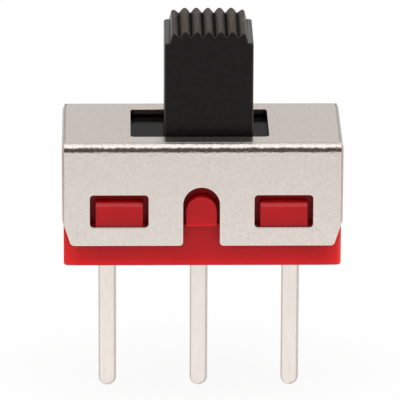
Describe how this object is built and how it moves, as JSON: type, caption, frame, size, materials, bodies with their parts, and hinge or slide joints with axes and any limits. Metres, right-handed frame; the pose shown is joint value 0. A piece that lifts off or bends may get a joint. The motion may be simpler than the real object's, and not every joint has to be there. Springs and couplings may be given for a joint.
{
  "type": "slide switch",
  "caption": "Miniature slide switch for a circuit board: folded steel frame over a red base, tall black ridged slider, rocking contact and flat terminals in a row.",
  "frame": {"origin": "the common terminal's axis on the seating plane, which is the underside of the base's rim", "axes": "+X along the terminal row, towards terminal_right; +Y from the front wall to the back wall; +Z towards the slider's grip"},
  "size_m": [0.0142, 0.0068, 0.0197],
  "materials": {
    "plated_steel": "dull nickel-plated sheet, satin",
    "red_moulding": "moulded thermoset, semi-gloss",
    "black_moulding": "moulded nylon, satin",
    "white_moulding": "moulded acetal, satin",
    "spring_wire": "drawn spring wire",
    "silver_contact": "silver-faced copper alloy, satin",
    "tinned_terminal": "tin-plated copper alloy, matte",
    "potting": "cast epoxy, glossy"
  },
  "bodies": {
    "housing": {"frame": "plated_steel", "base": "red_moulding", "cradle": "silver_contact", "contact_left": "silver_contact", "contact_right": "silver_contact", "terminal_left": "tinned_terminal", "terminal_common": "tinned_terminal", "terminal_right": "tinned_terminal", "terminal_seal": "potting"},
    "actuator": {"slider": "black_moulding", "plunger_spring": "spring_wire"},
    "plunger": {"plunger": "white_moulding"},
    "rocker": {"rocker": "silver_contact"}
  },
  "joints": [
    {"name": "slider_slide", "type": "slide", "parent": "housing", "child": "actuator", "axis": [1, 0, 0], "range_m": [-0.00165, 0.00075]},
    {"name": "plunger_press", "type": "slide", "parent": "actuator", "child": "plunger", "axis": [0, 0, 1], "range_m": [0, 0.0004], "stiffness_N_per_m": 500, "deforming": ["plunger_spring"]},
    {"name": "rocker_tilt", "type": "hinge", "parent": "housing", "child": "rocker", "pos_m": [0, 0, 0.00258], "axis": [0, 1, 0], "range_deg": [-12.38, 5.63]}
  ],
  "couplings": [
    {"joint": "rocker_tilt", "follows": "slider_slide", "rad_per_m": 130.9}
  ]
}
